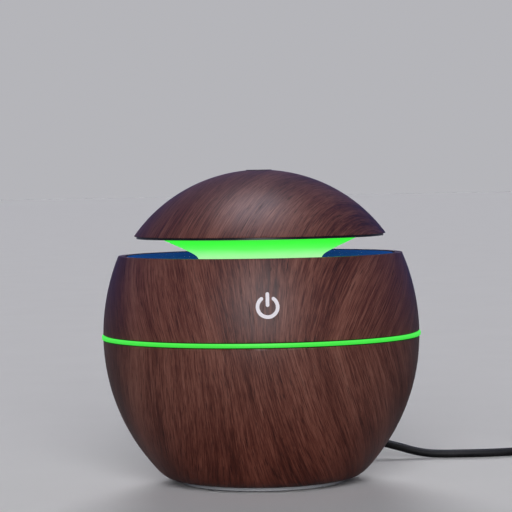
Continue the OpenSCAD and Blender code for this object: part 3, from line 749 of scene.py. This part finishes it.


# %% [markdown]
# ## The dish under the lid
# Round the trumpet's neck lies a shallow dish of dark gloss plastic, which fills the open rim. Its deep blue
# is a painted reflection of a blue room. Its skirt plugs into the tank below and carries the seal.

# %% Dish
dish = turned("lid_gloss_dish", [
    (19.5, 67.3), (19.5, 68.9), (25, 69.3), (31, 70), (37, 71.1), (41.9, 72.2), (42.4, 71.9),
    (42.4, 69.2), (40.6, 69.2), (40.5, 70), (37, 69.5), (35.4, 68.96), (35.4, 66), (34.8, 66),
    (34.8, 64.4), (35.4, 64.4), (35.4, 63), (33.8, 63), (33.8, 68.72), (31, 68.3), (25, 67.6)], steps=160)
round_edges(dish, 0.15, segments=2)
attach(dish, "lid")
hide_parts("lid_dish")

# Painted reflection: the base colour is the blue of a blue room mirrored in dark gloss plastic, darker
# towards the neck.
NECK_REFLECTED_BLUE, RIM_REFLECTED_BLUE = shade(1, 36, 94), shade(4, 62, 140)
dish_gloss, tree, sockets, place = new_finish("dish_gloss", Specular_IOR_Level=0.42)
cloud = noise(tree, place, (0.05, 0.05, 0.05), detail=3)
out = sums(tree, "MULTIPLY_ADD", cloud, 4.0, out_from_axis(tree, place))
plug(tree, blended(tree, spread(tree, out, 20, 44), NECK_REFLECTED_BLUE, RIM_REFLECTED_BLUE), sockets["Base Color"])
smudge = noise(tree, place, (0.9, 0.9, 0.9), detail=3)
plug(tree, spread(tree, smudge, 0.3, 0.7, 0.12, 0.2), sockets["Roughness"])
wear(dish, dish_gloss)


# %% [markdown]
# ## The power symbol
# The symbol is a printed white mark: a ring with a gap and a short bar, with round ends. Its outline is
# drawn flat and filled, then a shrinkwrap lays it on the shell and solidify gives the print's thickness.

# %% Power symbol
MARK_AT, MARK_OUT, MARK_IN = 58.2, 3.5, 2.42
END_X, END_Z, END_R = 1.78, 2.38, 0.54  # the ring's right end, and the radius of every round end
BAR_LOW, BAR_HIGH = 0.54, 3.78


def filled(outline):
    """A flat face in the XZ plane from an outline."""
    piece = draw(outline)
    bpy.ops.mesh.select_all(action="SELECT")
    bpy.ops.mesh.edge_face_add()
    bpy.ops.mesh.quads_convert_to_tris(quad_method="BEAUTY", ngon_method="BEAUTY")
    bpy.ops.object.mode_set(mode="OBJECT")
    return piece


gap = math.degrees(math.atan2(END_Z, END_X))
broken_ring = filled([
    *sweep(0, MARK_AT, MARK_OUT, gap, -180 - gap, 72),
    *sweep(-END_X, MARK_AT + END_Z, END_R, 180 - gap, -gap, 8)[1:-1],
    *sweep(0, MARK_AT, MARK_IN, -180 - gap, gap, 60),
    *sweep(END_X, MARK_AT + END_Z, END_R, 180 + gap, gap, 8)[1:-1]])
bar = filled([*sweep(0, MARK_AT + BAR_HIGH, END_R, 0, 180, 10),
              *sweep(0, MARK_AT + BAR_LOW, END_R, 180, 360, 10)])
take(bar, broken_ring)
bpy.ops.object.join()
mark = named("power_print")
placed(mark, move=(0, -54, 0))
apply_modifier(mark, "SHRINKWRAP", target=upper_shell, wrap_method="PROJECT", use_project_x=False,
               use_project_y=True, use_project_z=False, use_positive_direction=True,
               use_negative_direction=True, wrap_mode="ABOVE_SURFACE", offset=0.1 * MM)
take(mark)
bpy.ops.object.mode_set(mode="EDIT")
bpy.ops.mesh.select_all(action="SELECT")
bpy.ops.mesh.normals_make_consistent(inside=False)
bpy.ops.object.mode_set(mode="OBJECT")
print("mark's first normal is", tuple(round(c, 2) for c in mark.data.polygons[0].normal))
apply_modifier(mark, "SOLIDIFY", thickness=0.14 * MM, offset=-1)
smooth(mark)
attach(mark, "root")
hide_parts("power_mark")


# %% [markdown]
# ## Everyday plastics, rubber and metal
# All moulded parts share two effects. A fine grain breaks up the tone, the gloss and the surface, and a
# little dust gathers where a surface faces up. Each finish uses them with its own values.

# %% Moulding grain and dust groups
moulding, given, put = new_group(
    "moulding_grain",
    {"Place": ("Vector", None), "Tone": ("Color", (0.5, 0.5, 0.5, 1)), "Change": ("Float", 0.12),
     "Size": ("Float", 2.0), "Gloss": ("Float", 0.45), "Spread": ("Float", 0.08)},
    {"Colour": "Color", "Roughness": "Float", "Height": "Float"})
scaled = add(moulding, "VectorMath", {0: given["Place"], "Scale": given["Size"]}, operation="SCALE")
pebble = add(moulding, "TexNoise", {"Vector": scaled, "Scale": 1.0, "Detail": 4.0, "Roughness": 0.6})
flow = noise(moulding, given["Place"], (0.09, 0.09, 0.16), detail=3)
mix_share = sums(moulding, "MULTIPLY_ADD", pebble, 0.5, sums(moulding, "MULTIPLY", flow, 0.5))
darker = blended(moulding, 1.0, given["Tone"], (0.62, 0.62, 0.64, 1), "MULTIPLY")
paler = blended(moulding, 0.12, given["Tone"], (1, 1, 1, 1))
varied = blended(moulding, spread(moulding, mix_share, 0.3, 0.7), darker, paler)
plug(moulding, blended(moulding, given["Change"], given["Tone"], varied), put["Colour"])
plug(moulding, sums(moulding, "MULTIPLY_ADD", sums(moulding, "SUBTRACT", pebble, 0.5), given["Spread"],
                    given["Gloss"]), put["Roughness"])
plug(moulding, pebble, put["Height"])

dusty, given, put = new_group(
    "settled_dust", {"Place": ("Vector", None), "Amount": ("Float", 0.1)}, {"Mask": "Float"})
facing_up = axes(dusty, dusty.nodes.new("ShaderNodeNewGeometry").outputs["Normal"])[2]
patchy = spread(dusty, noise(dusty, given["Place"], (0.35, 0.35, 0.35), detail=5, rough=0.7), 0.35, 0.75)
upward = spread(dusty, facing_up, 0.2, 1.0)
plug(dusty, sums(dusty, "MULTIPLY", sums(dusty, "MULTIPLY", patchy, upward), given["Amount"]), put["Mask"])


# %% Finishes for the record's slots
def moulded(name, tone, change=0.5, size=2.0, gloss=0.45, spread_of=0.1, depth=0.02, dust=0.1, **sockets):
    """A moulded or cast finish with grain and dust."""
    material, tree, inputs, place = new_finish(name, **sockets)
    grainy = use_group(tree, moulding, {"Place": place, "Tone": tone, "Change": change, "Size": size,
                                        "Gloss": gloss, "Spread": spread_of})
    mask = use_group(tree, dusty, {"Place": place, "Amount": dust})["Mask"]
    plug(tree, blended(tree, mask, grainy["Colour"], shade(176, 170, 160)), inputs["Base Color"])
    plug(tree, sums(tree, "ADD", grainy["Roughness"], sums(tree, "MULTIPLY", mask, 0.4)), inputs["Roughness"])
    plug(tree, relief_of(tree, grainy["Height"], depth), inputs["Normal"])
    return material


finishes = {
    "gloss_dark": moulded("lid_black", shade(12, 12, 15), change=0.15, gloss=0.3, depth=0.01,
                          Specular_IOR_Level=0.4),
    "milky_plastic": moulded("milky_tank", shade(214, 222, 218), gloss=0.34, depth=0.01, change=0.35,
                             Subsurface_Weight=0.25, Subsurface_Scale=0.002),
    "pale_plastic": moulded("pale_base", shade(196, 199, 202), gloss=0.5, size=3.5),
    "white_print": moulded("white_ink", shade(238, 232, 236), gloss=0.45, size=5.0, change=0.25, dust=0.0,
                           depth=0.006),
    "steel": moulded("bright_steel", shade(176, 178, 182), gloss=0.28, size=6.0, spread_of=0.16, dust=0.05,
                     depth=0.006, Metallic=1.0),
    "rubber": moulded("soft_rubber", shade(38, 38, 40), gloss=0.72, size=4.0, depth=0.04),
    "copper": moulded("copper_wire", shade(196, 110, 62), gloss=0.25, size=1.2, Metallic=0.9),
    "ferrite": moulded("dark_ferrite", shade(44, 44, 48), gloss=0.6, size=5.0, depth=0.04),
    "black_plastic": moulded("black_moulding", shade(24, 24, 27), gloss=0.48, size=3.0),
    "cream_plastic": moulded("cream_nylon", shade(222, 214, 190), gloss=0.4, size=2.4),
    "led_lens": moulded("lamp_lens", shade(238, 236, 170), gloss=0.15, size=1.5, Coat_Weight=0.5),
    "wire": moulded("wire_jacket", shade(176, 52, 44), gloss=0.3, size=1.6, depth=0.01),
    "cord_black": moulded("lead_jacket", shade(6, 6, 7), change=0.12, gloss=0.5, size=1.2, dust=0.03,
                          depth=0.02, Specular_IOR_Level=0.2),
}
print(len(finishes), "finishes")


# %% [markdown]
# ## Circuit boards
# A board is green varnish over copper tracks. Straight tracks come from a grid of thin lines that a
# blocky noise switches on and off, a little proud under the varnish.

# %% Board finish
board_green, tree, sockets, place = new_finish("board_varnish", Coat_Weight=0.35)
tracks = add(tree, "TexBrick", {
    "Vector": place, "Color1": (0, 0, 0, 1), "Color2": (1, 1, 1, 1), "Mortar": (0.5, 0.5, 0.5, 1),
    "Scale": 0.55, "Mortar Size": 0.06, "Brick Width": 1.4, "Row Height": 0.5}, output=1)
patch = spread(tree, noise(tree, place, (0.3, 0.3, 0.3), detail=1), 0.45, 0.55)
copper_share = sums(tree, "MULTIPLY", tracks, patch)
VARNISH_GREEN, TRACK_GREEN = shade(22, 92, 54), shade(74, 148, 84)
varnish = use_group(tree, moulding, {"Place": place, "Tone": VARNISH_GREEN, "Change": 0.6, "Size": 1.4,
                                     "Gloss": 0.3})
plug(tree, blended(tree, copper_share, varnish["Colour"], TRACK_GREEN), sockets["Base Color"])
plug(tree, varnish["Roughness"], sockets["Roughness"])
plug(tree, relief_of(tree, copper_share, 0.04), sockets["Normal"])
finishes["board"] = board_green


# %% Every slot gets its finish
NEW_PIECES = {"cord_black": (lead, micro_relief, large_relief, micro_grip, large_grip),
              "black_plastic": (tie,), "white_print": (mark,)}
for slot, pieces in NEW_PIECES.items():
    for piece in pieces:
        wear(piece, finishes[slot])
shown = 0
for node in nodes.values():
    slot = node.data.materials[0].name.split(".")[0]
    if not node.hide_render and slot in finishes:
        wear(node, finishes[slot])
        shown += 1
print(shown, "nodes of the engineering model are shown with finishes")


# %% [markdown]
# ## Floor, background and colour
# The floor shows plain and pale, but it throws little light back, so the bowl stays dark towards its foot,
# where its print also carries painted shade.
# The background shows as pale as the floor's far end, while the globe's sheen picks up a dim blue, as a
# dark room with coloured walls would give, so that its edges stay deep in tone.

# %% Floor finish and background
floor_pale, tree, sockets, place = new_finish("floor_pale", Specular_IOR_Level=0.1, Roughness=0.9)
BOUNCE, ROOM, ROOM_GLOSS, BACKDROP = (
    (0.3, 0.3, 0.31, 1), (0.04, 0.04, 0.05, 1), (0.014, 0.075, 0.28, 1), (0.4615, 0.4615, 0.488, 1))
mottle = noise(tree, place, (0.02, 0.02, 0.02), detail=3)
pale = blended(tree, mottle, shade(238, 238, 238), shade(243, 243, 243))
direct = tree.nodes.new("ShaderNodeLightPath").outputs["Is Camera Ray"]
plug(tree, blended(tree, direct, BOUNCE, pale), sockets["Base Color"])
wear(floor, floor_pale)
world = bpy.data.worlds.new("studio")
bpy.context.scene.world = world
world.use_nodes = True
tree = world.node_tree
background = tree.nodes["Background"]
light_path = tree.nodes.new("ShaderNodeLightPath").outputs
room = blended(tree, light_path["Is Glossy Ray"], ROOM, ROOM_GLOSS)
plug(tree, blended(tree, light_path["Is Camera Ray"], room, BACKDROP), background.inputs["Color"])
bpy.context.scene.view_settings.view_transform = "Standard"
